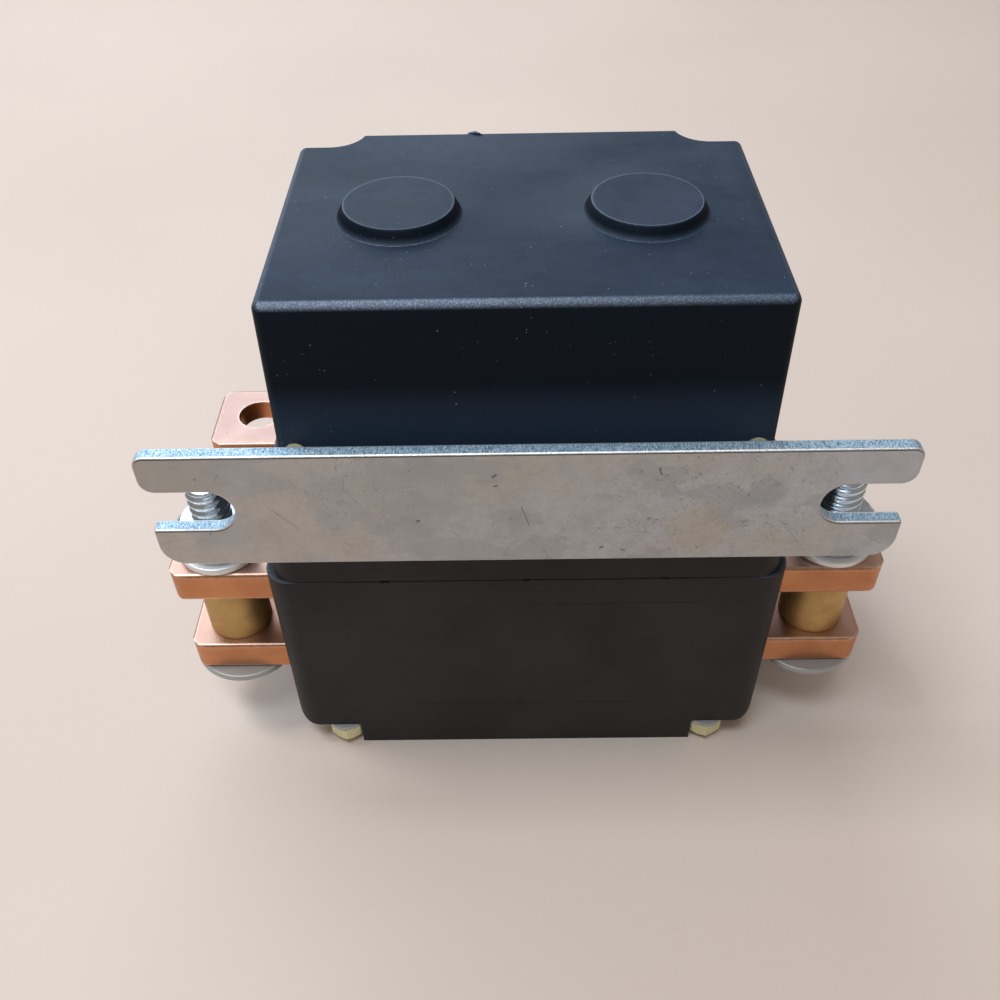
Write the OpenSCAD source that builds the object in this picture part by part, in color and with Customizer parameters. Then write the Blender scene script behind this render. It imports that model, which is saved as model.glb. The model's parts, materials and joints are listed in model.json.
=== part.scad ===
// Two-pole reversing contactor for a winch motor.
// Origin: centre of the foot's underside. X runs along the bracket, the bracket faces -Y, Z is up.
// Each pole is a solenoid whose plunger lifts a copper bridge from the lower to the upper contacts.

/* [Housing] */
// Radius of the housing's upright corners
corner_r = 5; // [3:0.5:6]
// How far the middle housing steps back from the lower one on each side
side_step = 1.5; // [0:0.1:2]
// Wall thickness of the mouldings
wall = 2.6; // [2:0.1:3]
// Chamfer on each side of the parting line
parting_chamfer = 0.2; // [0.2:0.1:0.8]
// Height of the middle housing
middle_h = 22; // [22:0.5:30]
// Height of the middle housing's wide part, up to the shoulders on its sides
shoulder_h = 16; // [12:0.5:20]
// Width of the foot that the housing stands on
foot_w = 76; // [60:1:80]
// Height of the foot below the housing's outer strips
foot_h = 6.5; // [5.5:0.5:7]
// Radius along the bottom edge of the outer strips
strip_r = 4; // [2:0.5:5]
// Thickness of the lower housing's floor above the foot
floor_t = 2.6; // [2:0.1:4]
// Depth of the cored pockets under the foot
core_depth = 5; // [2:0.5:6]
// Thickness of the plate that carries the coils
deck_t = 4; // [3:0.5:5]

/* [Top cover] */
// Depth of the cover beside its rear bulge
cover_d = 57.8; // [56:0.2:62]
// How far the lower housing reaches past the cover on each side
side_ledge = 7; // [5:0.5:10]
// Thickness of the cover's flange
flange_t = 4; // [3:0.5:6]
// Free height between the coils and the cover
top_room = 1.6; // [1:0.1:6]
// How far each side leans out from top to flange
cover_draft = 0.4; // [0.1:0.1:0.6]
// Radius of the cover's edges
cover_edge_r = 1.8; // [1:0.1:2.4]
// Distance of the rear hollows' centres from the cover's sides
notch_inset = 6; // [4:0.5:8]
// How much further the rear hollows go in than the ledge at the front
notch_extra = 0.9; // [0:0.1:1]
// Diameter of the raised discs at their foot
disc_base_d = 22.6; // [20:0.2:26]
// Diameter of the raised discs at their top
disc_top_d = 19.8; // [16:0.2:22]
// Height of the raised discs
disc_h = 2.4; // [1:0.1:4]
// Depth of the dish in each disc
disc_dish = 0.4; // [0.1:0.05:0.8]

/* [Bracket] */
// How far the bracket reaches past the housing on each side
bracket_out = 16; // [14:0.5:24]
// Height of the mounting bracket
bracket_h = 26; // [24:0.5:32]
// Thickness of the bracket plate
bracket_t = 3; // [2.5:0.5:5]
// Height of the bracket's lower edge above the parting line
bracket_rise = 8.6; // [6:0.2:10]
// Width of the slots at the bracket's ends
slot_w = 9; // [6:0.1:10]
// Depth of the slots, end of bracket to round bottom
slot_depth = 15.4; // [10:0.2:16]
// Height of the slots' middle above the bracket's lower edge
slot_rise = 13.4; // [12:0.2:15]
// Radius of the bracket's upper corners
bracket_top_r = 2.2; // [0.5:0.1:4]
// Radius of the upper arms' lower corners
bracket_arm_r = 2.6; // [0.5:0.1:4]
// Radius of the bracket's lower corners
bracket_low_r = 4.5; // [1:0.5:5]
// Diameter of the two concealed studs that hold the bracket
bracket_stud_d = 5; // [4:0.5:6]
// Distance between the two concealed studs
bracket_stud_pitch = 60; // [40:1:66]

/* [Tie screws] */
// Diameter of the screws that hold the mouldings together
tie_d = 4; // [3:0.1:4.2]
// Distance of the tie screws from the housing's sides
tie_inset = 10.5; // [9:0.5:12]
// Length of screw that shows above the tie nuts
tie_tip = 2.2; // [1:0.1:4]
// Width across the flats of the tie nuts
tie_nut_af = 5.5; // [5:0.1:7]
// Height of the tie nuts
tie_nut_h = 3.2; // [2:0.1:4]

/* [Terminals] */
// Width of the front copper bars
bar_w = 20; // [17:0.5:20]
// Thickness of the front copper bars
bar_t = 7.4; // [5:0.1:8]
// Height of the lower bars' underside
lower_bar_z = 19.4; // [18:0.1:24]
// Clear height between the lower and the upper bars
bar_gap = 14.8; // [14.4:0.1:20]
// Distance of the terminal bolts from the housing's side
bolt_out = 11.8; // [11.5:0.1:16]
// Length of the front bars beyond the bolts
bar_end = 9.8; // [8:0.5:16]
// Distance of the terminal bolts from the front bars' middle lines
hole_offset = 1.6; // [0:0.1:2]
// Radius of the bars' outer corners
bar_corner_r = 3.6; // [1:0.2:5]
// Radius along the bars' edges
bar_edge_r = 0.8; // [0.2:0.1:1.2]
// Diameter of the terminal bolts
stud_d = 8; // [6:0.5:9]
// Length of bolt above the terminal nuts
stud_out = 9; // [4:0.5:12]
// Width across the flats of the terminal nuts and bolt heads
nut_af = 13; // [12:0.5:15]
// Height of the terminal nuts
nut_h = 5.4; // [5:0.1:7]
// Height of the bolt heads
head_h = 5.3; // [4:0.1:7]
// Diameter of the flat washers on the upper bars
washer_d = 17; // [15:0.2:21]
// Diameter of the flat washers under the lower bars
low_washer_d = 22.6; // [17:0.2:22.8]
// Thickness of the flat washers
washer_t = 1.6; // [1:0.1:2]
// Diameter of the spring washers
lock_d = 14.4; // [12.6:0.2:15]
// Thickness of the spring washers
lock_t = 1.6; // [1.4:0.1:2.2]
// Diameter of the brass spacers
spacer_d = 13.4; // [11:0.1:15]

/* [Supply bars] */
// Width of the rear copper bars
rear_bar_w = 20; // [18:0.5:20]
// Thickness of the rear copper bars
rear_bar_t = 4.8; // [3:0.1:5.4]
// Distance of the rear terminal holes from the housing's side
lug_out = 9.4; // [9:0.2:14]
// Distance of the rear holes from the rear bars' middle lines
lug_offset = 0.7; // [0:0.1:2]
// Length of the rear bars beyond their holes
lug_end = 9.8; // [8:0.2:16]
// Diameter of the holes in the rear bars
lug_hole_d = 9.2; // [6:0.1:10]

/* [Contacts] */
// Distance between the two poles
pole_pitch = 44; // [44:0.5:50]
// Distance of the contact tips from the middle line
tip_y = 18.5; // [17:0.1:19]
// Diameter of the contact tips
tip_d = 10; // [6:0.5:11]
// Thickness of the fixed contact tips
fixed_tip_t = 1.7; // [1:0.1:2.6]
// Thickness of the bridge's contact tips
bridge_tip_t = 1.6; // [1:0.1:2]
// Thickness of the bridges
bridge_t = 4; // [3:0.1:5]
// Width of the bridges
bridge_w = 14; // [12:0.5:16]
// Clearance that is left between closed contacts
contact_gap = 0.05; // [0.02:0.01:0.1]
// Length of the contact blocks on the rear bars
block_l = 16; // [12:0.5:18]

/* [Solenoids] */
// Travel of the plungers
plunger_travel = 5; // [4:0.1:6]
// Diameter of the plungers and fixed cores
plunger_d = 15; // [12:0.5:16]
// Length of the plungers
plunger_l = 28; // [26:0.5:32]
// Diameter of the windings
winding_d = 33; // [31:0.5:36]
// Height of the bobbins
bobbin_h = 43; // [41:0.5:50]
// Wall thickness of the bobbins
bobbin_t = 1.2; // [0.8:0.1:1.5]
// Width of the steel yokes
yoke_w = 22; // [19:0.5:24]
// Thickness of the steel yokes
yoke_t = 3; // [2:0.1:3]
// Diameter of the push rods
rod_d = 5; // [4:0.1:5.5]
// Diameter of the contact springs
spring_d = 10; // [8.5:0.1:10.5]
// Wire diameter of the springs
spring_wire = 1; // [0.6:0.1:1.2]
// Width of the coils' spade terminals
tab_w = 6.3; // [4.8:0.1:6.3]
// Length of spade terminal outside the housing
tab_out = 8; // [6:0.5:10]

/* [Hidden] */
$fn = 64;
// Outlines that go through hull() take fewer faces
hull_fn = 32;
// Length by which a cut runs past the face it starts from
past = 1;

// Clearances
bar_fit = 0.1;
tie_fit = 0.2;
bolt_fit = 0.4;
slide_fit = 0.05;
press_fit = 0.02;
rod_fit = 0.06;
nut_room = 0.3;
coil_room = 1.9;
yoke_room = 1.5;
supply_room = 0.2;

// Webs of moulding between the bars and the tie screws, in front and behind
bar_web = 1.55;
rear_web = 3.05;

// Flat rim around each dish
disc_rim = 0.7;

// Overall sizes: the coils set the cover's width, and the nuts on the ledge the housing's depth
bobbin_lip = 1;
flange_r = winding_d / 2 + bobbin_lip;
cover_w = pole_pitch + 2 * (flange_r + coil_room + wall);
housing_w = cover_w + 2 * side_ledge;
upper_w = housing_w - 2 * side_step;
ledge_d = tie_nut_af + 2 * nut_room;
housing_d = cover_d + 2 * ledge_d;
front_y = -housing_d / 2;
cavity_w = housing_w - 2 * wall;
upper_cavity_w = upper_w - 2 * wall;
cavity_d = housing_d - 2 * wall;
// Above its shoulders the middle housing is as wide as the cover's flange
neck_w = cover_w + 2 * cover_draft;
neck_r = min(corner_r, 3);
neck_cavity_w = neck_w - 2 * wall;
notch_x = cover_w / 2 - notch_inset;
notch_r = ledge_d + notch_extra;
notch_y = housing_d / 2 - notch_r;

// Tie screws stand in the middle of the ledge
tie_x = housing_w / 2 - tie_inset;
tie_y = housing_d / 2 - (ledge_d - cover_draft) / 2;

// Bars in plan
bar_tail = 9;
bar_y = tie_y - tie_d / 2 - tie_fit - bar_web - bar_w / 2;
bolt_x = housing_w / 2 + bolt_out;
bolt_y = bar_y + hole_offset;
bar_reach = bolt_x + bar_end;
bar_inner = pole_pitch / 2 - bar_tail;
rear_bar_y = tie_y - tie_d / 2 - tie_fit - rear_web - rear_bar_w / 2;
lug_hole_x = housing_w / 2 + lug_out;
lug_hole_y = rear_bar_y + lug_offset;
rear_bar_reach = lug_hole_x + lug_end;
rear_bar_inner = pole_pitch / 2 + bar_tail;

// Heights of the bars and the parting line
floor_z = foot_h + floor_t;
lower_bar_top = lower_bar_z + bar_t;
upper_bar_z = lower_bar_top + bar_gap;
upper_bar_top = upper_bar_z + bar_t;
supply_z = upper_bar_top;
common_z = lower_bar_z - rear_bar_t;
parting_z = supply_z + rear_bar_t + supply_room;
deck_z = parting_z + deck_t;
shoulder_z = parting_z + shoulder_h;
middle_top_z = parting_z + middle_h;
ledge_z = middle_top_z + flange_t;

// Walls of the contact chambers
chamber_room = 11.5;
chamber_x = pole_pitch / 2 + chamber_room;
chamber_t = 2.4;
rib_t = 2;
boss_t = 2.4;
boss_r = tie_d / 2 + boss_t;

// Contact stack, from the lower bars up
lower_tip_top = lower_bar_top + fixed_tip_t;
bridge_z = lower_tip_top + contact_gap + bridge_tip_t;
bridge_top = bridge_z + bridge_t;
upper_tip_z = upper_bar_z - fixed_tip_t;
bridge_end = 0.5;
bridge_l = 2 * tip_y + tip_d + 2 * bridge_end;

// Solenoid stack, from the deck up
peen_h = 1.4;
yoke_base_top = deck_z + yoke_t;
bobbin_top = yoke_base_top + bobbin_h;
plate_top = bobbin_top + yoke_t;
cover_top_z = plate_top + peen_h + top_room + wall;
yoke_gap = 2 * (flange_r + yoke_room);
bobbin_flange_t = 1.6;
tube_r = plunger_d / 2 + slide_fit;
tube_t = 0.4;
bobbin_bore_r = tube_r + tube_t + slide_fit;
bobbin_r = bobbin_bore_r + bobbin_t;
stop_t = 1.2;
stop_room = 1.5;
stop_r = rod_d / 2 + stop_room;
plunger_z = parting_z + stop_t + contact_gap;
plunger_top = plunger_z + plunger_l;
core_z = plunger_top + plunger_travel + contact_gap;
spring_bore_r = 4.2;
spring_bore_depth = 8;
spring_bore_fit = 0.4;
return_spring_d = 2 * (spring_bore_r - spring_bore_fit);
rod_socket = 7;
collar_r = 5.2;
collar_t = 1.5;
bush_r = 4.4;
bush_flange_r = 5.4;
bush_flange_t = 1.2;
upper_spring_l = 10.5;
lower_spring_l = 6.4;
bush_z = bridge_z - bush_flange_t;
bush_top = bridge_top + bush_flange_t;
collar_z = bush_top + upper_spring_l;
clip_t = 1;
clip_z = bush_z - lower_spring_l - clip_t;
rod_tail = 1.6;
rod_z = clip_z - rod_tail;
groove_depth = 0.35;
groove_r = rod_d / 2 - groove_depth;

// Tie screw stack
tie_washer_t = 0.8;
tie_washer_r = 4;
tie_head_af = 7;
tie_head_h = 3.9;
tie_head_room = 0.5;
tie_head_dish = 0.4;
tie_top_z = ledge_z + tie_nut_h + tie_tip;

// Bracket and its fixings
bracket_l = housing_w + 2 * bracket_out;
bracket_z = parting_z + bracket_rise;
slot_z = bracket_z + slot_rise;
stud_rise = 8;
stud_z = bracket_z + stud_rise;
stud_head_lip = 1.2;
stud_head_r = bracket_stud_d / 2 + stud_head_lip;
stud_head_t = 1.6;
stud_reach = 6;
stud_end_y = front_y + wall + stud_reach;
stud_nut_af = 8;
stud_nut_h = 4;

// Terminal stack
thread_depth = 0.4;
thread_r = stud_d / 2 - thread_depth;
washer_z = upper_bar_top;
lock_z = washer_z + washer_t;
nut_z = lock_z + lock_t;
stud_top_z = nut_z + nut_h + stud_out;
low_washer_z = lower_bar_z - washer_t;
head_z = low_washer_z - head_h;

// Coil connections: each lead runs beside the yoke to the edge of its spade terminal
tab_t = 0.8;
tab_in = 4.5;
tab_rise = 18;
tab_z = parting_z + tab_rise;
tab_hole_d = 1.7;
lead_r = 0.5;
lead_room = 1.5;
lead_x = yoke_w / 2 + lead_room;
tab_offset = lead_x - tab_w / 2 + lead_r;
lead_y = sqrt(pow(winding_d / 2 + lead_r, 2) - pow(lead_x, 2));
lead_rise = 4;
lead_z = yoke_base_top + lead_rise;

moulding_colour = [0.13, 0.14, 0.16];
copper_colour = [0.72, 0.42, 0.26];
brass_colour = [0.72, 0.55, 0.25];
zinc_colour = [0.72, 0.73, 0.74];
steel_colour = [0.5, 0.5, 0.52];
silver_colour = [0.85, 0.85, 0.83];
nylon_colour = [0.85, 0.83, 0.76];

// Rounded rectangle about the origin, with true arcs
module rounded_outline(w, d, r) {
    square([w - 2 * r, d], center = true);
    square([w, d - 2 * r], center = true);
    for (x = [-1, 1], y = [-1, 1])
        translate([x * (w / 2 - r), y * (d / 2 - r)]) circle(r = r);
}

module ring(outer_r, inner_r, h) {
    difference() {
        cylinder(r = outer_r, h = h);
        translate([0, 0, -past]) cylinder(r = inner_r, h = h + 2 * past);
    }
}

// Hexagon prism given by its width across the flats, with chamfered corners
module hex_block(af, h) {
    corner_rad = af / sqrt(3);
    intersection() {
        cylinder(r = corner_rad, h = h, $fn = 6);
        union() {
            cylinder(r1 = af / 2, r2 = corner_rad, h = h * 0.12, $fn = 48);
            translate([0, 0, h * 0.12]) cylinder(r = corner_rad, h = h * 0.76, $fn = 48);
            translate([0, 0, h * 0.88]) cylinder(r1 = corner_rad, r2 = af / 2, h = h * 0.12, $fn = 48);
        }
    }
}

module hex_nut(af, h, bore_r) {
    difference() {
        hex_block(af, h);
        translate([0, 0, -past]) cylinder(r = bore_r, h = h + 2 * past);
    }
}

// Round-wire compression spring on Z, with its end turns laid nearly flat
function spring_points(r, wire, h, turns, rings, sides) = [
    for (i = [0 : rings])
        let (t = i / rings, a = 360 * turns * t,
             ease = t < 0.15 ? t * t / 0.3 : t > 0.85 ? 1 - (1 - t) * (1 - t) / 0.3 - 0.15 : t - 0.075,
             z = wire / 2 + (h - wire) * ease / 0.85)
            for (s = [0 : sides - 1])
                let (b = 360 * s / sides, d = r + wire / 2 * cos(b))
                    [d * cos(a), d * sin(a), z + wire / 2 * sin(b)]
];

module coil_spring(d, wire, h, turns) {
    sides = 6;
    rings = round(turns * 12);
    side_faces = [
        for (i = [0 : rings - 1], s = [0 : sides - 1])
            let (a = i * sides + s, b = i * sides + (s + 1) % sides)
                [a, b, b + sides, a + sides]
    ];
    start = [for (s = [sides - 1 : -1 : 0]) s];
    finish = [for (s = [0 : sides - 1]) rings * sides + s];
    polyhedron(spring_points((d - wire) / 2, wire, h, turns, rings, sides),
               concat([start], side_faces, [finish]), convexity = 10);
}

module at_tie_screws() {
    for (x = [-1, 1], y = [-1, 1])
        translate([x * tie_x, y * tie_y, 0]) children();
}

module at_bolt(side) {
    translate([side * bolt_x, -bolt_y, 0]) children();
}

module at_pole(side) {
    translate([side * pole_pitch / 2, 0, 0]) children();
}

module on_side(side) {
    if (side < 0) mirror([1, 0, 0]) children();
    else children();
}

// Space for the two front bars of one level
module bar_window(z, clear) {
    for (side = [-1, 1])
        on_side(side)
            translate([bar_inner - clear, -bar_y - bar_w / 2 - clear, z - clear])
                cube([bar_reach - bar_inner + 2 * clear, bar_w + 2 * clear, bar_t + 2 * clear]);
}

// Space for a rear bar, from the height z up to the height top
module rear_window(side, z, top, clear) {
    on_side(side)
        translate([-rear_bar_inner - clear, rear_bar_y - rear_bar_w / 2 - clear, z - clear])
            cube([rear_bar_inner + rear_bar_reach + 2 * clear, rear_bar_w + 2 * clear,
                  top - z + 2 * clear]);
}

module block_window(z, clear) {
    for (side = [-1, 1])
        at_pole(side)
            translate([-block_l / 2 - clear, rear_bar_y - bar_w / 2 - clear, z - clear])
                cube([block_l + 2 * clear, bar_w + 2 * clear, bar_t + 2 * clear]);
}

module tie_bosses(z, h, w, r) {
    intersection() {
        at_tie_screws() translate([0, 0, z]) cylinder(r = boss_r, h = h);
        translate([0, 0, z]) linear_extrude(height = h)
            rounded_outline(w, housing_d, r);
    }
}

module tie_holes(z, h) {
    at_tie_screws() translate([0, 0, z]) cylinder(r = tie_d / 2 + tie_fit, h = h);
}

// Chamfered slab with the housing's outline; the chamfer is at the top or the bottom
module housing_rim(z, at_top, w) {
    c = parting_chamfer;
    for (i = [0, 1])
        translate([0, 0, z + (i == 0 ? 0 : c / 2)])
            linear_extrude(height = c / 2)
                rounded_outline(w - (at_top == (i == 1) ? c : c / 2) * 2,
                                housing_d - (at_top == (i == 1) ? c : c / 2) * 2,
                                corner_r - c / 2);
}

// Lower housing, seen along Y: foot in the middle and two strips with rounded bottom edges
module lower_profile() {
    top = parting_z - parting_chamfer;
    translate([-foot_w / 2, 0]) square([foot_w, foot_h + strip_r]);
    translate([-housing_w / 2 + strip_r, foot_h]) square([housing_w - 2 * strip_r, top - foot_h]);
    translate([-housing_w / 2, foot_h + strip_r]) square([housing_w, top - foot_h - strip_r]);
    for (x = [-1, 1])
        translate([x * (housing_w / 2 - strip_r), foot_h + strip_r]) circle(r = strip_r);
}

module lower_housing() {
    pocket_w = (foot_w - 6 * wall) / 3;
    pocket_d = (housing_d - 3 * wall) / 2;
    color(moulding_colour) difference() {
        union() {
            difference() {
                union() {
                    intersection() {
                        linear_extrude(height = parting_z - parting_chamfer)
                            rounded_outline(housing_w, housing_d, corner_r);
                        translate([0, housing_d / 2 + past, 0]) rotate([90, 0, 0])
                            linear_extrude(height = housing_d + 2 * past) lower_profile();
                    }
                    housing_rim(parting_z - parting_chamfer, true, housing_w);
                }
                translate([0, 0, floor_z])
                    linear_extrude(height = parting_z - floor_z + past)
                        rounded_outline(cavity_w, cavity_d, corner_r - wall);
            }
            tie_bosses(floor_z - past, parting_z - floor_z + past, housing_w, corner_r);
            // Walls that close the two contact chambers, and the barrier between the poles
            for (x = [-chamber_x - chamber_t, -rib_t / 2, chamber_x])
                translate([x, -cavity_d / 2 - past, floor_z - past])
                    cube([x == -rib_t / 2 ? rib_t : chamber_t, cavity_d + 2 * past,
                          parting_z - floor_z + past]);
        }
        tie_holes(-past, parting_z + 2 * past);
        bar_window(lower_bar_z, bar_fit);
        bar_window(upper_bar_z, bar_fit);
        // The supply bar lies in a notch that is open towards the middle housing
        rear_window(-1, supply_z, parting_z + past, bar_fit);
        rear_window(1, common_z, lower_bar_z, bar_fit);
        // Room for the screw heads at the foot's corners
        at_tie_screws() translate([0, 0, -past])
            cylinder(r = tie_washer_r + tie_head_room, h = foot_h + past);
        // Pockets cored out of the foot, with ribs between them
        for (i = [-1 : 1], y = [-1, 1])
            translate([i * (pocket_w + wall) - pocket_w / 2,
                       y * (pocket_d + wall) / 2 - pocket_d / 2, -past])
                cube([pocket_w, pocket_d, core_depth + past]);
    }
}

module middle_housing() {
    color(moulding_colour) difference() {
        union() {
            housing_rim(parting_z, false, upper_w);
            translate([0, 0, parting_z + parting_chamfer])
                linear_extrude(height = shoulder_h - parting_chamfer) difference() {
                    rounded_outline(upper_w, housing_d, corner_r);
                    rounded_outline(upper_cavity_w, cavity_d, corner_r - wall);
                }
            // Shoulders on the sides, and the narrower walls that carry the cover
            translate([0, 0, shoulder_z - wall]) linear_extrude(height = wall) difference() {
                rounded_outline(upper_w, housing_d, corner_r);
                rounded_outline(neck_cavity_w, cavity_d, neck_r);
            }
            translate([0, 0, shoulder_z - past])
                linear_extrude(height = middle_top_z - shoulder_z + past) difference() {
                    rounded_outline(neck_w, housing_d, neck_r);
                    rounded_outline(neck_cavity_w, cavity_d, neck_r);
                }
            translate([0, 0, parting_z + parting_chamfer])
                linear_extrude(height = deck_t - parting_chamfer)
                    rounded_outline(upper_cavity_w + past, cavity_d + past, corner_r - wall);
            tie_bosses(parting_z + parting_chamfer, middle_h - parting_chamfer, neck_w, neck_r);
        }
        tie_holes(parting_z - past, middle_h + 2 * past);
        // The guide tubes end on a lip, which is also the plungers' stop
        for (side = [-1, 1])
            at_pole(side) {
                translate([0, 0, parting_z + stop_t]) cylinder(r = bobbin_bore_r, h = deck_t);
                translate([0, 0, parting_z - past]) cylinder(r = stop_r, h = deck_t);
            }
        for (x = [-1, 1])
            translate([x * bracket_stud_pitch / 2, front_y - past, stud_z]) rotate([-90, 0, 0])
                cylinder(r = bracket_stud_d / 2 + tie_fit, h = wall + 2 * past);
        // The tie screws' bosses make room for the bracket's nuts
        for (x = [-1, 1])
            translate([x * bracket_stud_pitch / 2, front_y + wall, stud_z]) rotate([-90, 0, 0])
                cylinder(r = stud_nut_af / sqrt(3) + nut_room, h = stud_nut_h + nut_room);
        coil_tab_shapes(bar_fit);
    }
}

// Outside of the cover above its flange: drafted sides, rounded edges, full housing depth at the back
module cover_block() {
    r = cover_edge_r;
    back = housing_d / 2;
    front = cover_d / 2;
    hull() {
        for (x = [-1, 1]) {
            translate([x * (cover_w / 2 - r), -front + r, cover_top_z - r])
                sphere(r = r, $fn = hull_fn);
            translate([x * (cover_w / 2 - r), back - cover_draft - r, cover_top_z - r])
                sphere(r = r, $fn = hull_fn);
            translate([x * (cover_w / 2 + cover_draft - r), -front - cover_draft + r, middle_top_z])
                cylinder(r = r, h = flange_t, $fn = hull_fn);
            translate([x * (cover_w / 2 + cover_draft - r), back - r, middle_top_z])
                cylinder(r = r, h = flange_t, $fn = hull_fn);
        }
    }
}

// Hollow in one rear corner of the cover, which leaves the tie screw in the open
module cover_notch(side) {
    top = cover_top_z - ledge_z + past;
    on_side(side) translate([0, 0, ledge_z]) {
        translate([notch_x, notch_y, 0])
            cube([cover_w, housing_d, top]);
        translate([notch_x, housing_d / 2, 0]) cylinder(r = notch_r, h = top);
    }
}

module top_cover() {
    dish_edge = disc_top_d / 2 - disc_rim;
    dish_r = (pow(dish_edge, 2) + pow(disc_dish, 2)) / (2 * disc_dish);
    color(moulding_colour) difference() {
        union() {
            difference() {
                cover_block();
                for (side = [-1, 1]) cover_notch(side);
            }
            translate([0, 0, middle_top_z]) linear_extrude(height = flange_t)
                rounded_outline(neck_w, housing_d, neck_r);
            for (side = [-1, 1])
                at_pole(side) {
                    translate([0, 0, cover_top_z])
                        cylinder(r1 = disc_base_d / 2, r2 = disc_top_d / 2, h = disc_h);
                    translate([0, 0, cover_top_z - wall / 2])
                        cylinder(r = disc_base_d / 2, h = wall / 2);
                }
        }
        translate([-cover_w / 2 + wall, -cover_d / 2 + wall, middle_top_z - past])
            cube([cover_w - 2 * wall, cover_d / 2 + notch_y - 2 * wall,
                  cover_top_z - middle_top_z - wall + past]);
        // Room inside the rear bulge
        translate([-notch_x + notch_r + wall, 0, middle_top_z - past])
            cube([2 * (notch_x - notch_r - wall), housing_d / 2 - wall - cover_draft,
                  cover_top_z - middle_top_z - wall + past]);
        tie_holes(middle_top_z - past, flange_t + 2 * past);
        for (side = [-1, 1])
            at_pole(side) {
                translate([0, 0, cover_top_z + disc_h + dish_r - disc_dish])
                    sphere(r = dish_r, $fn = 96);
                translate([0, 0, cover_top_z - wall - past])
                    cylinder(r = disc_top_d / 2 - wall, h = disc_h + past);
            }
    }
}

// Bracket outline in X and Z: sheared plate with an open slot at each end
module bracket_outline() {
    difference() {
        union() {
            for (x = [-1, 1]) {
                translate([x * (bracket_l / 2 - bracket_top_r), bracket_h - bracket_top_r])
                    circle(r = bracket_top_r);
                translate([x * (bracket_l / 2 - bracket_low_r), bracket_low_r])
                    circle(r = bracket_low_r);
            }
            translate([-bracket_l / 2, bracket_low_r])
                square([bracket_l, bracket_h - bracket_low_r - bracket_top_r]);
            translate([-bracket_l / 2 + bracket_low_r, 0])
                square([bracket_l - 2 * bracket_low_r, bracket_h]);
            translate([-bracket_l / 2 + bracket_top_r, bracket_h / 2])
                square([bracket_l - 2 * bracket_top_r, bracket_h / 2]);
        }
        for (x = [0, 1])
            mirror([x, 0]) translate([bracket_l / 2 - slot_depth + slot_w / 2, slot_z - bracket_z]) {
                circle(r = slot_w / 2);
                translate([0, -slot_w / 2]) square([slot_depth + past, slot_w]);
                translate([slot_depth - slot_w / 2 - bracket_arm_r, slot_w / 2 + bracket_arm_r])
                    corner_cut(bracket_arm_r);
            }
    }
}

// What a rounding takes off a corner that points to +X and -Y; the origin is the arc's centre
module corner_cut(r) {
    difference() {
        translate([0, -r - past]) square([r + past, r + past]);
        circle(r = r);
    }
}

module mounting_bracket() {
    color(zinc_colour) difference() {
        translate([0, front_y, bracket_z]) rotate([90, 0, 0])
            linear_extrude(height = bracket_t) bracket_outline();
        for (x = [-1, 1])
            translate([x * bracket_stud_pitch / 2, front_y + past, stud_z]) rotate([90, 0, 0])
                cylinder(r = stud_head_r + press_fit, h = stud_head_t + past);
    }
}

module bracket_studs() {
    color(zinc_colour)
        for (x = [-1, 1])
            translate([x * bracket_stud_pitch / 2, front_y - stud_head_t, stud_z])
                rotate([-90, 0, 0]) {
                    cylinder(r = stud_head_r, h = stud_head_t);
                    cylinder(r = bracket_stud_d / 2, h = stud_end_y - front_y + stud_head_t);
                }
}

module bracket_nuts() {
    color(zinc_colour)
        for (x = [-1, 1])
            translate([x * bracket_stud_pitch / 2, front_y + wall, stud_z]) rotate([-90, 0, 0])
                hex_nut(stud_nut_af, stud_nut_h, bracket_stud_d / 2 + press_fit);
}

module tie_screws() {
    head_top = foot_h - tie_washer_t;
    color([0.78, 0.72, 0.5]) at_tie_screws() {
        difference() {
            translate([0, 0, head_top - tie_head_h]) rotate([0, 0, 30])
                hex_block(tie_head_af, tie_head_h);
            translate([0, 0, head_top - tie_head_h - past])
                cylinder(r = tie_d / 2, h = tie_head_dish + past);
        }
        translate([0, 0, head_top - past])
            cylinder(r = tie_d / 2, h = tie_top_z - head_top + past - tie_d / 8);
        translate([0, 0, tie_top_z - tie_d / 8])
            cylinder(r1 = tie_d / 2, r2 = tie_d * 3 / 8, h = tie_d / 8);
    }
}

module tie_washers() {
    color(zinc_colour) at_tie_screws()
        translate([0, 0, foot_h - tie_washer_t])
            ring(tie_washer_r, tie_d / 2 + slide_fit, tie_washer_t);
}

module tie_nuts() {
    color(zinc_colour) at_tie_screws()
        translate([0, 0, ledge_z]) hex_nut(tie_nut_af, tie_nut_h, tie_d / 2 + press_fit);
}

// Copper bar from x = start to x = end, centred on y = 0 and standing on z = 0.
// Its upright corners at the end are rounded, and so are its long edges and the end's edges.
module copper_bar(start, end, w, t) {
    r = bar_corner_r;
    intersection() {
        linear_extrude(height = t) {
            translate([start, -w / 2]) square([end - start - r, w]);
            translate([start, -w / 2 + r]) square([end - start, w - 2 * r]);
            for (y = [-1, 1]) translate([end - r, y * (w / 2 - r)]) circle(r = r);
        }
        translate([start - past, 0, t / 2]) rotate([90, 0, 90])
            linear_extrude(height = end - start + 2 * past) rounded_outline(w, t, bar_edge_r);
        translate([end - (end - start + w) / 2, w, t / 2]) rotate([90, 0, 0])
            linear_extrude(height = 2 * w) rounded_outline(end - start + w, t, bar_edge_r);
    }
}

// Front copper bar on the right, with its hole for the terminal bolt
module front_bar(z) {
    color(copper_colour) difference() {
        translate([0, -bar_y, z]) copper_bar(bar_inner, bar_reach, bar_w, bar_t);
        translate([bolt_x, -bolt_y, z - past])
            cylinder(r = stud_d / 2 + bolt_fit, h = bar_t + 2 * past);
    }
}

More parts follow.
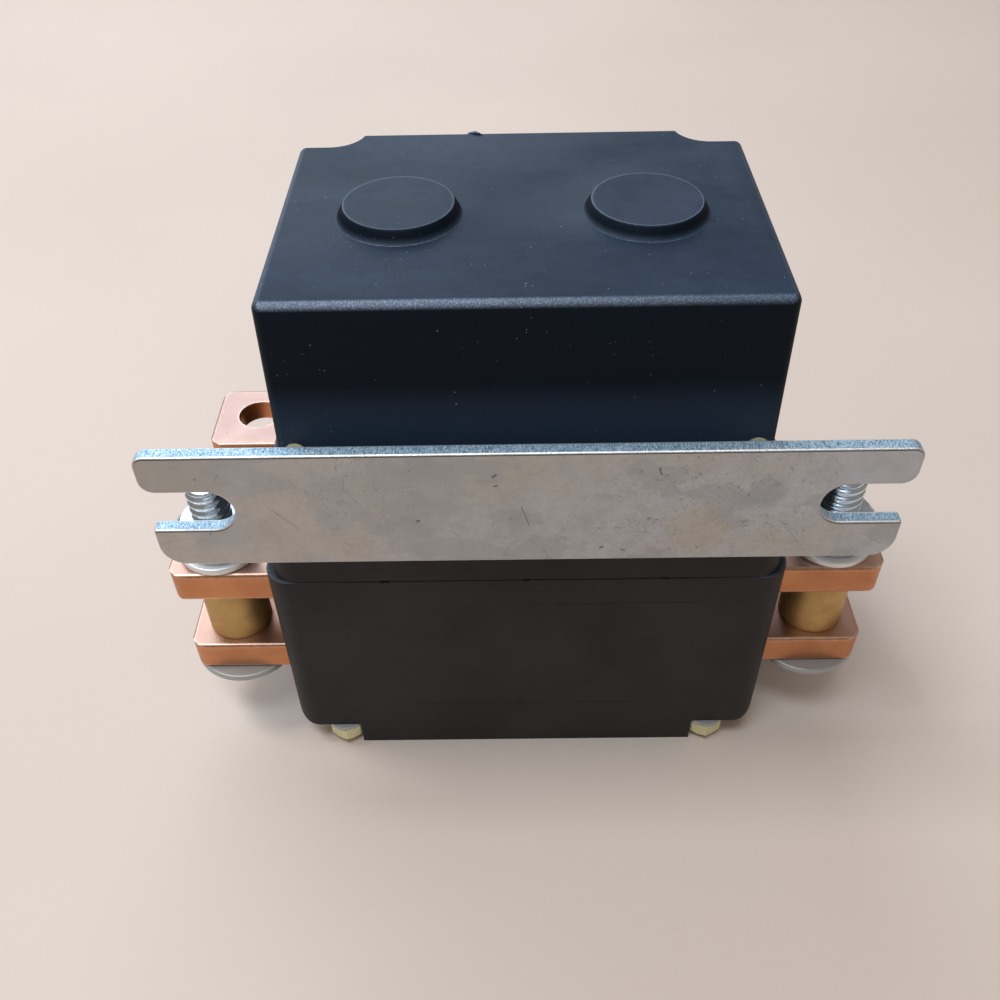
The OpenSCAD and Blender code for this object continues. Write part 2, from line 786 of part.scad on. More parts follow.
// Rear copper bar with its lug on the right; it joins both poles
module rear_bar(z) {
    color(copper_colour) difference() {
        translate([0, rear_bar_y, z])
            copper_bar(-rear_bar_inner, rear_bar_reach, rear_bar_w, rear_bar_t);
        translate([lug_hole_x, lug_hole_y, z - past])
            cylinder(r = lug_hole_d / 2, h = rear_bar_t + 2 * past);
    }
}

module supply_bar() { on_side(-1) rear_bar(supply_z); }
module common_bar() { rear_bar(common_z); }

module contact_blocks(z) {
    color(copper_colour) block_window(z, 0);
}

module spacer(side) {
    color(brass_colour) at_bolt(side) translate([0, 0, lower_bar_top])
        ring(spacer_d / 2, stud_d / 2 + bolt_fit, upper_bar_z - lower_bar_top);
}

// Hexagon bolt with its head below the lower bar and a bevelled free end.
// Inside the nut it has the thread's pitch diameter, as the nut has.
module terminal_bolt(side) {
    bevel = stud_d / 10;
    color(zinc_colour) at_bolt(side) {
        translate([0, 0, head_z]) rotate([0, 0, 30]) hex_block(nut_af, head_h);
        translate([0, 0, low_washer_z - past])
            cylinder(r = stud_d / 2, h = nut_z - low_washer_z + past);
        translate([0, 0, nut_z]) cylinder(r = thread_r, h = nut_h);
        translate([0, 0, nut_z + nut_h]) cylinder(r = stud_d / 2, h = stud_out - bevel);
        translate([0, 0, stud_top_z - bevel])
            cylinder(r1 = stud_d / 2, r2 = stud_d / 2 - bevel, h = bevel);
    }
}

module terminal_washers() {
    color(zinc_colour)
        for (side = [-1, 1])
            at_bolt(side) {
                translate([0, 0, low_washer_z])
                    ring(low_washer_d / 2, stud_d / 2 + bolt_fit, washer_t);
                translate([0, 0, washer_z]) ring(washer_d / 2, stud_d / 2 + bolt_fit, washer_t);
            }
}

// Spring washers, split at the back
module terminal_lock_washers() {
    color(steel_colour)
        for (side = [-1, 1])
            at_bolt(side) translate([0, 0, lock_z]) difference() {
                ring(lock_d / 2, stud_d / 2 + bolt_fit / 2, lock_t);
                translate([-lock_t / 4, 0, -past]) cube([lock_t / 2, lock_d, lock_t + 2 * past]);
            }
}

module terminal_nuts() {
    color(zinc_colour)
        for (side = [-1, 1])
            at_bolt(side) translate([0, 0, nut_z]) hex_nut(nut_af, nut_h, thread_r + press_fit);
}

module fixed_tips(z) {
    color(silver_colour)
        for (side = [-1, 1], y = [-tip_y, tip_y])
            at_pole(side) translate([0, y, z]) cylinder(r = tip_d / 2, h = fixed_tip_t);
}

// U-shaped yoke, bent from strip, with a hole for the guide tube
module yoke(side) {
    outer = yoke_gap / 2 + yoke_t;
    color(zinc_colour) at_pole(side) difference() {
        translate([-yoke_w / 2, 0, deck_z]) rotate([90, 0, 90])
            linear_extrude(height = yoke_w) difference() {
                union() {
                    translate([-outer, yoke_t]) square([2 * outer, bobbin_h]);
                    translate([-outer + yoke_t, 0]) square([2 * outer - 2 * yoke_t, yoke_t]);
                    for (y = [-1, 1]) translate([y * (outer - yoke_t), yoke_t]) circle(r = yoke_t);
                }
                translate([-yoke_gap / 2, yoke_t]) square([yoke_gap, bobbin_h + past]);
            }
        translate([0, 0, deck_z - past]) cylinder(r = bobbin_bore_r, h = yoke_t + 2 * past);
    }
}

module yoke_plate(side) {
    color(zinc_colour) at_pole(side) translate([0, 0, bobbin_top]) difference() {
        translate([-yoke_w / 2, -yoke_gap / 2 - yoke_t, 0])
            cube([yoke_w, yoke_gap + 2 * yoke_t, yoke_t]);
        translate([0, 0, -past]) cylinder(r = plunger_d / 3 + press_fit, h = yoke_t + 2 * past);
    }
}

module bobbin(side) {
    color(nylon_colour) at_pole(side) translate([0, 0, yoke_base_top])
        rotate_extrude() {
            translate([bobbin_bore_r, 0]) square([bobbin_t, bobbin_h]);
            for (z = [0, bobbin_h - bobbin_flange_t])
                translate([bobbin_bore_r, z]) square([flange_r - bobbin_bore_r, bobbin_flange_t]);
        }
}

module winding(side) {
    color(copper_colour) at_pole(side) translate([0, 0, yoke_base_top + bobbin_flange_t])
        ring(winding_d / 2, bobbin_r + slide_fit, bobbin_h - 2 * bobbin_flange_t);
}

module guide_tube(side) {
    color(brass_colour) at_pole(side) translate([0, 0, parting_z + stop_t])
        ring(tube_r + tube_t, tube_r, bobbin_top - parting_z - stop_t);
}

// Fixed core: hangs from the yoke plate, its spigot is peened over the plate
module fixed_core(side) {
    spigot_r = plunger_d / 3;
    color(steel_colour) at_pole(side) difference() {
        union() {
            translate([0, 0, core_z]) cylinder(r = plunger_d / 2, h = bobbin_top - core_z);
            translate([0, 0, bobbin_top]) cylinder(r = spigot_r, h = yoke_t);
            translate([0, 0, plate_top])
                cylinder(r1 = spigot_r + peen_h / 2, r2 = spigot_r - peen_h / 2, h = peen_h);
        }
        translate([0, 0, core_z - past]) cylinder(r = spring_bore_r, h = spring_bore_depth + past);
    }
}

module plunger(side) {
    color(steel_colour) at_pole(side) difference() {
        translate([0, 0, plunger_z]) cylinder(r = plunger_d / 2, h = plunger_l);
        translate([0, 0, plunger_top - spring_bore_depth])
            cylinder(r = spring_bore_r, h = spring_bore_depth + past);
        translate([0, 0, plunger_z - past])
            cylinder(r = rod_d / 2 + press_fit, h = rod_socket + past);
    }
}

// Push rod: turned collar above the bridge, groove for the clip below it
module push_rod(side) {
    color(zinc_colour) at_pole(side) difference() {
        union() {
            translate([0, 0, rod_z]) cylinder(r = rod_d / 2, h = plunger_z + rod_socket - rod_z);
            translate([0, 0, collar_z]) cylinder(r = collar_r, h = collar_t);
        }
        translate([0, 0, clip_z]) ring(rod_d, groove_r, clip_t);
    }
}

// Clip: a ring with a mouth as wide as the groove is thick
module rod_clip(side) {
    color(steel_colour) at_pole(side) translate([0, 0, clip_z + press_fit]) difference() {
        ring(collar_r, groove_r + press_fit, clip_t - 2 * press_fit);
        translate([-groove_r, 0, -past]) cube([2 * groove_r, rod_d * 2, clip_t + 2 * past]);
    }
}

module bridge(side) {
    end_r = bridge_w / 2;
    color(copper_colour) at_pole(side) translate([0, 0, bridge_z])
        linear_extrude(height = bridge_t) difference() {
            union() {
                square([bridge_w, bridge_l - bridge_w], center = true);
                for (y = [-1, 1]) translate([0, y * (bridge_l / 2 - end_r)]) circle(r = end_r);
            }
            circle(r = bush_r + press_fit);
        }
}

module bridge_tips(side) {
    color(silver_colour)
        for (y = [-tip_y, tip_y], z = [bridge_z - bridge_tip_t, bridge_top])
            at_pole(side) translate([0, y, z]) cylinder(r = tip_d / 2, h = bridge_tip_t);
}

// Insulating bush that slides on the push rod and carries the bridge
module bridge_bush(side) {
    color(nylon_colour) at_pole(side) difference() {
        union() {
            translate([0, 0, bridge_z]) cylinder(r = bush_r, h = bridge_t);
            translate([0, 0, bush_z]) cylinder(r = bush_flange_r, h = bush_flange_t);
            translate([0, 0, bridge_top]) cylinder(r = bush_flange_r, h = bush_flange_t);
        }
        translate([0, 0, bush_z - past])
            cylinder(r = rod_d / 2 + rod_fit, h = bush_top - bush_z + 2 * past);
    }
}

module return_spring(side) {
    low = plunger_top - spring_bore_depth;
    color(steel_colour) at_pole(side) translate([0, 0, low])
        coil_spring(return_spring_d, spring_wire, core_z + spring_bore_depth - low, 8);
}

module upper_spring(side) {
    color(steel_colour) at_pole(side) translate([0, 0, bush_top])
        coil_spring(spring_d, spring_wire, upper_spring_l, 5);
}

module lower_spring(side) {
    color(steel_colour) at_pole(side) translate([0, 0, clip_z + clip_t])
        coil_spring(spring_d, spring_wire, lower_spring_l, 4);
}

// Spade terminals, or the slots that they pass through when they are given a clearance
module coil_tab_shapes(clear) {
    start = housing_d / 2 - wall - tab_in;
    for (side = [-1, 1], end = [-1, 1])
        translate([side * pole_pitch / 2 + end * tab_offset - tab_w / 2 - clear, start,
                   tab_z - tab_t / 2 - clear])
            cube([tab_w + 2 * clear, tab_in + wall + tab_out, tab_t + 2 * clear]);
}

module coil_tabs() {
    color(brass_colour) difference() {
        coil_tab_shapes(0);
        for (side = [-1, 1], end = [-1, 1])
            translate([side * pole_pitch / 2 + end * tab_offset,
                       housing_d / 2 + tab_out - tab_w / 2, tab_z - tab_t])
                cylinder(r = tab_hole_d / 2, h = 2 * tab_t);
    }
}

// Straight leads from the side of each winding to the inner ends of its spade terminals
module coil_leads() {
    run_y = housing_d / 2 - wall - tab_in + lead_r - lead_y;
    run_z = tab_z - tab_t / 2 - lead_r - lead_z;
    color([0.6, 0.2, 0.12])
        for (side = [-1, 1], end = [-1, 1])
            translate([side * pole_pitch / 2 + end * lead_x, lead_y, lead_z])
                rotate([-atan2(run_y, run_z), 0, 0])
                    cylinder(r = lead_r, h = sqrt(run_y * run_y + run_z * run_z), $fn = 16);
}

lower_housing();
middle_housing();
top_cover();
mounting_bracket();
bracket_studs();
bracket_nuts();
tie_screws();
tie_washers();
tie_nuts();
on_side(-1) front_bar(upper_bar_z);  // left_upper_bar
on_side(-1) front_bar(lower_bar_z);  // left_lower_bar
front_bar(upper_bar_z);  // right_upper_bar
front_bar(lower_bar_z);  // right_lower_bar
spacer(-1);  // left_spacer
spacer(1);  // right_spacer
terminal_bolt(-1);  // left_terminal_bolt
terminal_bolt(1);  // right_terminal_bolt
terminal_washers();
terminal_lock_washers();
terminal_nuts();
supply_bar();
common_bar();
contact_blocks(upper_bar_z);  // supply_contact_blocks
contact_blocks(lower_bar_z);  // common_contact_blocks
fixed_tips(upper_tip_z);  // upper_fixed_tips
fixed_tips(lower_bar_top);  // lower_fixed_tips
yoke(-1);  // left_yoke
yoke(1);  // right_yoke
yoke_plate(-1);  // left_yoke_plate
yoke_plate(1);  // right_yoke_plate
bobbin(-1);  // left_bobbin
bobbin(1);  // right_bobbin
winding(-1);  // left_winding
winding(1);  // right_winding
guide_tube(-1);  // left_guide_tube
guide_tube(1);  // right_guide_tube
fixed_core(-1);  // left_fixed_core
fixed_core(1);  // right_fixed_core
plunger(-1);  // left_plunger
plunger(1);  // right_plunger
push_rod(-1);  // left_push_rod
push_rod(1);  // right_push_rod
rod_clip(-1);  // left_rod_clip
rod_clip(1);  // right_rod_clip
bridge(-1);  // left_bridge
bridge(1);  // right_bridge
bridge_tips(-1);  // left_bridge_tips
bridge_tips(1);  // right_bridge_tips
bridge_bush(-1);  // left_bridge_bush
bridge_bush(1);  // right_bridge_bush
return_spring(-1);  // left_return_spring
return_spring(1);  // right_return_spring
upper_spring(-1);  // left_upper_spring
upper_spring(1);  // right_upper_spring
lower_spring(-1);  // left_lower_spring
lower_spring(1);  // right_lower_spring
coil_tabs();
coil_leads();
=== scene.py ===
import bmesh
import bpy
import json
import math
import random
from mathutils import Matrix, Vector

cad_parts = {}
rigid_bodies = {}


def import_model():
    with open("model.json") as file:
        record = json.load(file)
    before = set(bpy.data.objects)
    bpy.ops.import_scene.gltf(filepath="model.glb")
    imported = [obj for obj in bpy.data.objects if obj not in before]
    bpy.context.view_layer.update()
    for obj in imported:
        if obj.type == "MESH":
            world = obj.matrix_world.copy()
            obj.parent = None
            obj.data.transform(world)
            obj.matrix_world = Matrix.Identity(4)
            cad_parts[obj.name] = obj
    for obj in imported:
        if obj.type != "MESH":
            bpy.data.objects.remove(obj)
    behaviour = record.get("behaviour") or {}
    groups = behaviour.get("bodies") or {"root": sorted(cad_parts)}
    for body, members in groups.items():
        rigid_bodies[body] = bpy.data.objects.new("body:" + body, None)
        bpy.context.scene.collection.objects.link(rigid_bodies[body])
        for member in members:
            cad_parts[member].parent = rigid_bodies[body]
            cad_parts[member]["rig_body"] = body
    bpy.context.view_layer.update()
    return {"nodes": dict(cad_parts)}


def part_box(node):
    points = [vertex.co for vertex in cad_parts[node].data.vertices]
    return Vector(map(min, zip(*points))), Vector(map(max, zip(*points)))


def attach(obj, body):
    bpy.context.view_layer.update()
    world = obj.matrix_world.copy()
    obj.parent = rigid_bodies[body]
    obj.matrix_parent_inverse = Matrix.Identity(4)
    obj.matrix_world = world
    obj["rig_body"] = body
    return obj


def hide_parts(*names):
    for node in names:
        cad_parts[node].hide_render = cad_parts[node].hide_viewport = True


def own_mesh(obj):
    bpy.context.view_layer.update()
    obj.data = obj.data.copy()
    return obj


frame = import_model()

MM = 0.001
BODY = "housing"

# Sizes in mm: the stud, the wire, the plungers' travel and the disc's height are part.scad's, the
# overtravel is what the bridges don't follow, and the thread is read off the photograph
STUD_R = 4.0
STUD_BEVEL = 0.8
PITCH = 1.9
THREAD_DEPTH = 0.62
THREAD_RUN_OUT = 0.8
WIRE = 1.0
TRAVEL = 5.0
OVERTRAVEL = 0.9
DISC_H = 2.4
COVER_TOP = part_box("top_cover")[1][2] / MM - DISC_H

# How far in mm each node's sharp edges are cut back and rounded
ROUNDED = {
    "top_cover": 0.35, "middle_housing": 0.3, "lower_housing": 0.35, "mounting_bracket": 0.55,
    "terminal_washers": 0.45, "terminal_nuts": 0.15, "left_spacer": 0.3, "right_spacer": 0.3,
    "tie_nuts": 0.12, "tie_washers": 0.12, "bracket_studs": 0.15, "coil_tabs": 0.12,
    "terminal_lock_washers": 0.2, "supply_bar": 0.15, "common_bar": 0.15,
}
BEVEL_SEGMENTS = 3
SHARP_ANGLE = 32

# Marks on the fronts, read off the photograph: middle (x, z), size (length, width), angle to X
PLATE_SCRATCHES = [
    ((-42.9, 74.1), (8.0, 0.13), -0.85),
    ((-53.0, 84.3), (2.2, 0.12), 1.1),
    ((47.4, 69.2), (7.0, 0.1), -0.95),
    ((-31.5, 82.5), (4.6, 0.09), 1.5),
    ((-29.8, 78.2), (3.2, 0.09), -0.9),
    ((-13.0, 70.0), (3.0, 0.1), -0.8),
    ((63.0, 67.0), (4.0, 0.1), -0.6),
]
PLATE_NICKS = [
    ((-5.6, 83.8), (1.3, 0.36), 0.8),
    ((-5.4, 81.5), (0.9, 0.32), 0.0),
    ((-19.4, 73.4), (1.0, 0.32), 0.6),
    ((22.7, 84.3), (2.0, 0.24), 1.9),
    ((-0.2, 74.0), (6.0, 0.12), 1.85),
    ((13.6, 66.0), (1.0, 0.28), 0.4),
    ((17.5, 65.2), (1.4, 0.2), 2.6),
]
HOUSING_LINES = [
    ((18.0, 46.9), (41, 0.13), 0.0),
    ((3.6, 14.1), (66, 0.13), 0.0),
    ((-1.3, 14.3), (1.2, 0.5), 0.0),
    ((-27.3, 53.9), (2.0, 0.6), 0.0),
    ((0.2, 54.0), (1.7, 0.5), 0.0),
    ((26.7, 54.1), (2.0, 0.5), 0.0),
    ((-29.0, 54.1), (13.0, 0.16), 0.0),
    ((1.0, 54.2), (7.0, 0.14), 0.0),
    ((27.0, 54.2), (12.0, 0.18), 0.0),
]
# Stains on the plate: middle (x, z), radius, strength, tone
PLATE_STAINS = [
    ((42.0, 79.5), 4.5, 0.6, (0.38, 0.41, 0.45)),
    ((30.5, 71.0), 7.0, 0.35, (0.50, 0.45, 0.34)),
    ((-20.0, 80.0), 12.0, 0.6, (0.40, 0.42, 0.44)),
    ((-61.0, 84.0), 9.0, 0.35, (0.40, 0.37, 0.33)),
    ((60.0, 84.5), 11.0, 0.4, (0.56, 0.60, 0.69)),
]
# Where the plate is crazed and dirty: middle (x, z), radius, strength
PLATE_CRAZING = [
    ((33.0, 73.0), 25.0, 1.0),
    ((-30.0, 78.0), 14.0, 0.7),
    ((4.0, 66.0), 14.0, 0.7),
]


# Camera, floor and light

def make_camera():
    """The photograph's camera: 43 degrees down, a wide phone lens close to the object."""
    x, y, z = -3.017, -167.252, 200.255
    yaw, down, roll = 0.01279, 0.757, 0.02163
    sensor = 36
    focal_share = 1.0203
    lens = bpy.data.cameras.new("camera")
    lens.sensor_width = sensor
    lens.lens = sensor * focal_share
    lens.clip_start = 0.01
    camera = bpy.data.objects.new("camera", lens)
    turn = (Matrix.Rotation(yaw, 4, "Z") @ Matrix.Rotation(math.pi / 2 - down, 4, "X")
            @ Matrix.Rotation(-roll, 4, "Z"))
    camera.matrix_world = Matrix.Translation((x * MM, y * MM, z * MM)) @ turn
    bpy.context.scene.collection.objects.link(camera)
    bpy.context.scene.camera = camera


def area_light(name, place, target, size, power, colour):
    data = bpy.data.lights.new(name, "AREA")
    data.shape = "RECTANGLE"
    data.size, data.size_y = size
    data.energy = power
    data.color = colour
    light = bpy.data.objects.new(name, data)
    way = Vector(target) - Vector(place)
    light.matrix_world = Matrix.Translation(place) @ way.to_track_quat("-Z", "Y").to_matrix().to_4x4()
    bpy.context.scene.collection.objects.link(light)


def make_light():
    """A wide cool window behind, a lamp at the left, a small soft ceiling light and a warm room."""
    world = bpy.data.worlds.new("studio")
    world.use_nodes = True
    room = world.node_tree.nodes["Background"]
    room.inputs["Color"].default_value = (1.0, 0.85, 0.71, 1)
    room.inputs["Strength"].default_value = 0.26
    bpy.context.scene.world = world
    bpy.context.scene.view_settings.view_transform = "Standard"
    area_light("window", (-0.45, 1.05, 0.85), (0.0, 0.0, 0.0), (1.5, 0.7), 10.5, (0.78, 0.90, 1.0))
    area_light("lamp", (-0.50, 0.06, 1.1), (-0.03, 0.05, 0.0), (0.30, 0.30), 4.5, (0.97, 0.98, 1.0))
    area_light("ceiling", (-0.15, -0.32, 1.0), (0.0, 0.0, 0.0), (0.45, 0.22), 3.5, (0.79, 0.92, 1.0))


def make_floor():
    """A plain sheet of paper, far larger than the view."""
    half_side = 3.0
    mesh = bpy.data.meshes.new("floor")
    bm = bmesh.new()
    bmesh.ops.create_grid(bm, x_segments=12, y_segments=12, size=half_side)
    bm.to_mesh(mesh)
    bm.free()
    floor = bpy.data.objects.new("floor", mesh)
    mesh.materials.append(floor_paint())
    bpy.context.scene.collection.objects.link(floor)


# Material nodes

def shade(colour, factor):
    """The same colour, darker or lighter."""
    return tuple(min(1.0, c * factor) for c in colour)


class Paint:
    """A material under construction: small helpers around its node tree. Coordinates are in mm."""

    def __init__(self, name):
        self.material = bpy.data.materials.new(name)
        self.material.use_nodes = True
        self.tree = self.material.node_tree
        self.tree.nodes.clear()
        self.bsdf = self.node("BsdfPrincipled")
        out = self.node("OutputMaterial")
        self.tree.links.new(self.bsdf.outputs[0], out.inputs[0])
        self.coord = self.node("TexCoord")
        self.mm = self.vector("SCALE", self.coord.outputs["Object"], scale=1000)
        self.split = self.node("SeparateXYZ", Vector=self.mm)
        self.normal = self.node("SeparateXYZ", Vector=self.coord.outputs["Normal"])

    def node(self, kind, props=None, **inputs):
        n = self.tree.nodes.new("ShaderNode" + kind)
        for key, value in (props or {}).items():
            setattr(n, key, value)
        for key, value in inputs.items():
            self.put(n.inputs[key.replace("_", " ")], value)
        return n

    def put(self, socket, value):
        """Gives a socket a link or a constant."""
        if isinstance(value, bpy.types.NodeSocket):
            self.tree.links.new(value, socket)
        elif socket.type == "RGBA" and len(value) == 3:
            socket.default_value = (*value, 1)
        else:
            socket.default_value = value

    def set(self, **inputs):
        """Sets the shader's own sockets."""
        for key, value in inputs.items():
            self.put(self.bsdf.inputs[key.replace("_", " ")], value)

    def vector(self, op, a, b=None, scale=None):
        n = self.tree.nodes.new("ShaderNodeVectorMath")
        n.operation = op
        self.put(n.inputs[0], a)
        if b is not None:
            self.put(n.inputs[1], b)
        if scale is not None:
            n.inputs["Scale"].default_value = scale
        return n.outputs["Value" if op in ("LENGTH", "DOT_PRODUCT") else "Vector"]

    def math(self, op, a, b=None):
        n = self.tree.nodes.new("ShaderNodeMath")
        n.operation = op
        self.put(n.inputs[0], a)
        if b is not None:
            self.put(n.inputs[1], b)
        return n.outputs[0]

    def times(self, *values):
        out = values[0]
        for value in values[1:]:
            out = self.math("MULTIPLY", out, value)
        return out

    def most(self, *values):
        out = values[0]
        for value in values[1:]:
            out = self.math("MAXIMUM", out, value)
        return out

    def step(self, value, low, high, a=0.0, b=1.0):
        """value from low to high becomes a to b, smoothly."""
        n = self.tree.nodes.new("ShaderNodeMapRange")
        n.interpolation_type = "SMOOTHSTEP"
        for i, v in enumerate((value, low, high, a, b)):
            self.put(n.inputs[i], v)
        return n.outputs[0]

    def mix(self, share, a, b):
        """Colour a, with its share of colour b."""
        n = self.tree.nodes.new("ShaderNodeMix")
        n.data_type = "RGBA"
        self.put(n.inputs[0], share)
        self.put(n.inputs[6], a)
        self.put(n.inputs[7], b)
        return n.outputs[2]

    def place(self, move=(0, 0, 0), turn=(0, 0, 0), scale=(1, 1, 1)):
        """The coordinates in mm, moved, turned and scaled."""
        n = self.node("Mapping", Vector=self.mm)
        n.inputs["Location"].default_value = move
        n.inputs["Rotation"].default_value = turn
        n.inputs["Scale"].default_value = scale
        return n.outputs[0]

    def noise(self, scale, detail=2.0, rough=0.5, where=None, warp=0.0):
        n = self.node("TexNoise", Vector=where or self.mm, Scale=scale, Detail=detail,
                      Roughness=rough, Distortion=warp)
        return n.outputs["Fac"]

    def specks(self, size, share, radius, move=0.0):
        """Small round specks: one cell in 1/share has one, radius is its share of the cell."""
        cells = self.node("TexVoronoi", Vector=self.place((move, move, move)), Scale=1 / size)
        draw = self.node("SeparateColor", Color=cells.outputs["Color"]).outputs[0]
        chosen = self.math("LESS_THAN", draw, share)
        return self.times(chosen, self.step(cells.outputs["Distance"], radius, radius * 0.5))

    def hairs(self, angle, axis, length, width, share, move=0.0):
        """Short fine scratches that run at an angle in the plane across an axis."""
        turn = [0, 0, 0]
        turn["XYZ".index(axis)] = angle
        across = {"Y": (1 / length, 1, 1 / width), "Z": (1 / length, 1 / width, 1)}[axis]
        streaks = self.noise(1.0, 1.0, 0.4, self.place((move, move, move), turn, across), 0.15)
        return self.step(streaks, 1 - share, 1 - share + 0.03)

    def stroke(self, middle, size, angle):
        """A straight mark on the front: middle (x, z), size (length, width) in mm, angle to X."""
        length, width = size
        away = self.node("Mapping", Vector=self.vector("SUBTRACT", self.mm, (middle[0], 0, middle[1])))
        away.inputs["Rotation"].default_value = (0, angle, 0)
        turned = self.node("SeparateXYZ", Vector=away.outputs[0])
        drift = self.times(self.math("SUBTRACT", self.noise(0.5, 2, 0.5), 0.5), width * 3)
        off = self.math("ABSOLUTE", self.math("ADD", turned.outputs["Z"], drift))
        run = self.math("ABSOLUTE", turned.outputs["X"])
        return self.times(self.step(off, width, width * 0.3), self.step(run, length * 0.5, length * 0.35))

    def strokes(self, rows):
        return self.most(*[self.stroke(*row) for row in rows])

    def spot(self, middle, radius):
        """A soft round patch on the front: middle (x, z) and radius in mm, with a ragged edge."""
        away = self.vector("SUBTRACT", self.mm, (middle[0], 0, middle[1]))
        distance = self.vector("LENGTH", self.vector("MULTIPLY", away, (1, 0, 1)))
        ragged = self.times(self.math("SUBTRACT", self.noise(0.3, 3, 0.6), 0.5), radius * 1.2)
        return self.step(self.math("ADD", distance, ragged), radius, radius * 0.55)

    def worn_edges(self, radius, low=0.02, high=0.25):
        """1 on convex and concave edges, from how the rounded normal leaves the true one."""
        true_normal = self.node("NewGeometry").outputs["Normal"]
        soft_normal = self.node("Bevel", {"samples": 2}, Radius=radius * MM).outputs[0]
        return self.step(self.vector("DOT_PRODUCT", true_normal, soft_normal), 1 - low, 1 - high)

    def bump(self, height, distance, strength=1.0, under=None):
        n = self.node("Bump", Height=height, Distance=distance * MM, Strength=strength)
        if under is not None:
            self.put(n.inputs["Normal"], under)
        return n.outputs[0]


# The mouldings

def dust_and_sheen_film(p, seed):
    """How thick the dust and a painted sheen lie: wiped in broad streaks, and blotchy."""
    streaks = p.noise(0.035, 4, 0.6, p.place((seed * 5, 0, seed), (0, 0, 0.7), (0.6, 1.5, 1)))
    blotches = p.noise(0.32, 4, 0.7, p.place((seed, 2, seed)))
    return p.times(p.step(streaks, 0.3, 0.7, 0.60, 1.0), p.step(blotches, 0.3, 0.7, 0.88, 1.12))


def rounding_wear_and_highlight(p, top):
    """The rounding just below the cover's top: a painted highlight with some wear, most along the front
    and on the left.
    """
    tilt = p.normal.outputs["Z"]
    sideways = p.math("ABSOLUTE", p.normal.outputs["X"])
    return p.times(p.step(tilt, 0.12, 0.72), p.step(tilt, 1.0, 0.84),
                   p.step(p.split.outputs["Z"], top, top - 0.1),
                   p.step(sideways, 0.5, 0.15, 0.3, 1.0),
                   p.step(p.split.outputs["X"], 48, -30, 0.45, 1.0))


def foot_painted_light(p, top):
    """Painted light on the lower part of the cover's front, which makes it paler."""
    return p.times(p.step(p.split.outputs["Z"], top - 15, top - 26),
                   p.step(p.normal.outputs["Y"], -0.7, -0.95), 0.75)


def moulding(name, tone, dust_sheen_tone, seed, dust, top=None, lines=()):
    """Filled nylon moulding: fine grain and slow sink marks, a film of dust and painted sheen that
    lightens what faces up, dust specks, hair scratches, rubbed edges and a few fine lines where the
    mould's parts met.
    Up-facing edges are worn and carry a painted highlight. The cover gives the height just over its top:
    the rounding below it and the disc rims above it are rubbed and carry a painted highlight, and painted
    light makes the cover's foot paler."""
    p = Paint(name)
    tilt = p.normal.outputs["Z"]
    up = p.step(tilt, 0.50, 0.98)
    slow = p.noise(0.05, 3, 0.6, p.place((seed, seed, 0)))
    grain = p.noise(2.6, 3, 0.65)
    sparkle = p.step(p.noise(3.6, 2, 0.8, p.place((seed, 0, 3))), 0.45, 0.62)
    # Pale tone for edges that are worn and carry a painted highlight
    worn_and_highlit_tone = tuple(c * 4.4 + 0.22 for c in dust_sheen_tone)
    base = p.mix(p.step(slow, 0.3, 0.7), shade(tone, 0.82), shade(tone, 1.2))
    # Dust and a painted sheen lighten what faces up
    base = p.mix(p.times(up, dust_and_sheen_film(p, seed), p.step(grain, 0.2, 0.8, 0.82, 1.0)), base, dust_sheen_tone)
    # Up-facing edges: wear and a painted highlight, on the lower housing only at its corners, on the cover
    # only on the disc rims
    rims_worn_and_highlit = p.times(p.worn_edges(0.7, 0.004, 0.06), p.step(tilt, 0.45, 0.8))
    if top is None:
        aside = p.math("ABSOLUTE", p.split.outputs["X"])
        rims_worn_and_highlit = p.times(rims_worn_and_highlit, p.step(aside, 42, 46))
    else:
        # Painted highlight with some wear on the rounding below the cover's top
        rounding = p.times(rounding_wear_and_highlight(p, top), p.math("ADD", 0.42, p.times(sparkle, 0.58)))
        base = p.mix(rounding, base, worn_and_highlit_tone)
        rims_worn_and_highlit = p.times(rims_worn_and_highlit, p.step(p.split.outputs["Z"], top, top + 0.1))
    base = p.mix(p.times(rims_worn_and_highlit, p.math("ADD", 0.45, p.times(sparkle, 0.4))), base, worn_and_highlit_tone)
    base = p.mix(p.times(p.worn_edges(0.4), 0.35, sparkle), base, shade(dust_sheen_tone, 1.8))
    if top is not None:
        # Painted light makes the cover's foot paler
        base = p.mix(foot_painted_light(p, top), base, shade(dust_sheen_tone, 1.3))
    patch = p.step(p.noise(0.08, 2, 0.5, p.place((seed * 3, 0, seed))), 0.45, 0.68)
    specks = p.most(p.times(p.specks(0.8, 0.22, 0.13, seed), patch),
                    p.specks(1.1, 0.035, 0.12, seed + 7), p.specks(3.0, 0.05, 0.06, seed + 11))
    hairs = p.most(p.hairs(0.5, "Y", 5, 0.16, 0.25, seed), p.hairs(-0.9, "Y", 3, 0.12, 0.235, seed + 3),
                   p.hairs(1.3, "Z", 4, 0.14, 0.235, seed + 5))
    base = p.mix(p.times(specks, dust), base, (0.42, 0.45, 0.47))
    base = p.mix(p.times(hairs, patch, up, 0.25), base, (0.16, 0.17, 0.19))
    if lines:
        base = p.mix(p.strokes(lines), base, shade(tone, 0.3))
    p.set(Base_Color=base, IOR=1.45, Specular_IOR_Level=0.15)
    p.set(Roughness=p.math("ADD", 0.42, p.times(slow, 0.16)))
    p.set(Normal=p.bump(grain, 0.014, 0.7, p.bump(slow, 0.25, 0.5)))
    return p.material


# The mounting plate

